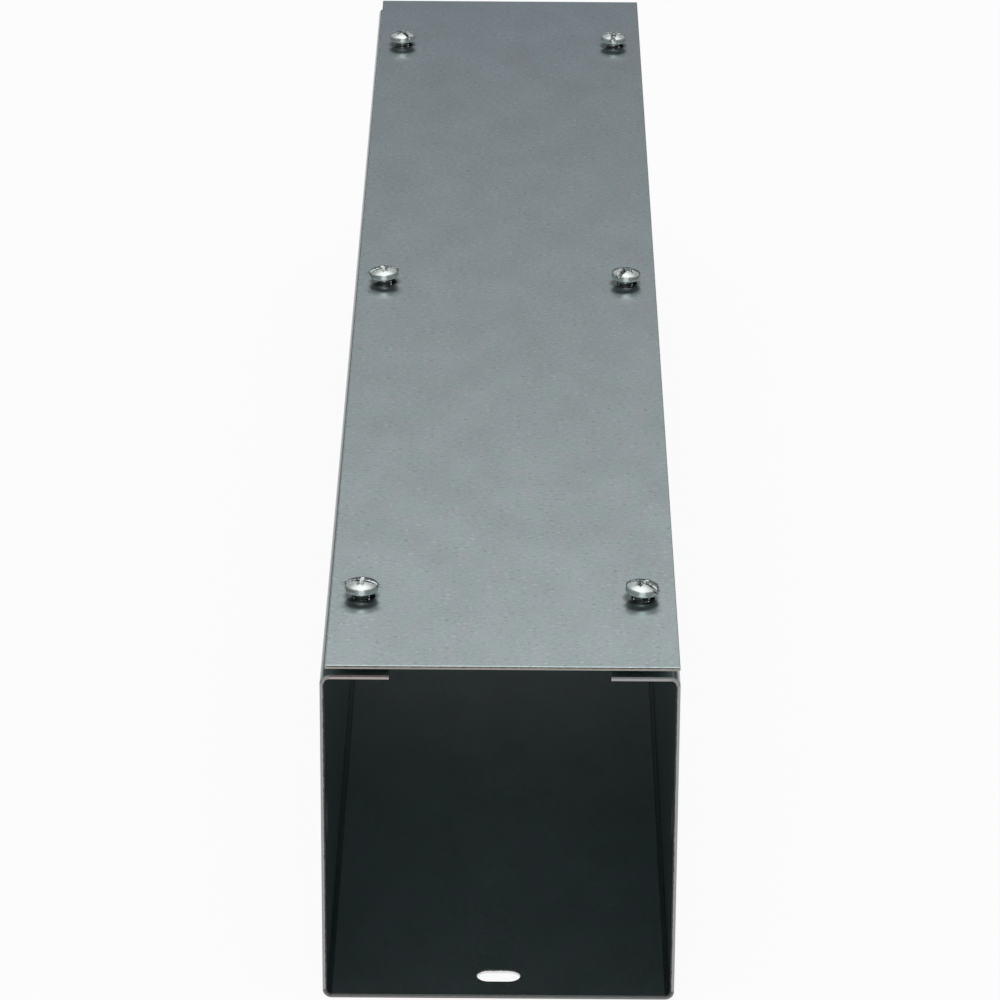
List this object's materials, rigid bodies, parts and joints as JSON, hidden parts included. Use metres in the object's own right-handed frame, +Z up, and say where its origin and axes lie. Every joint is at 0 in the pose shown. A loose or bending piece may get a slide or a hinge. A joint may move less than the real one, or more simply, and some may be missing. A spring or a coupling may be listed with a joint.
{
  "type": "screw cover wireway",
  "caption": "Straight length of square galvanised steel wireway: a bent trough with inturned lips and coupling slots, and a flat cover held on the lips by screws.",
  "frame": {"origin": "middle of the trough's length and width, on the underside that it lies on", "axes": "+Y along the wireway, away from the end that faces the viewer; +X to the viewer's right; +Z up through the cover"},
  "size_m": [0.1016, 0.6096, 0.1115],
  "materials": {
    "galvanised_sheet": "rolled galvanised sheet, half glossy, with fine streaks across the length and bare sheared edges",
    "zinc_screw": "bright zinc plating"
  },
  "bodies": {
    "root": {"trough": "galvanised_sheet", "cover": "galvanised_sheet", "cover_screw_left_1": "zinc_screw", "cover_screw_left_2": "zinc_screw", "cover_screw_left_3": "zinc_screw", "cover_screw_right_1": "zinc_screw", "cover_screw_right_2": "zinc_screw", "cover_screw_right_3": "zinc_screw"}
  },
  "joints": []
}
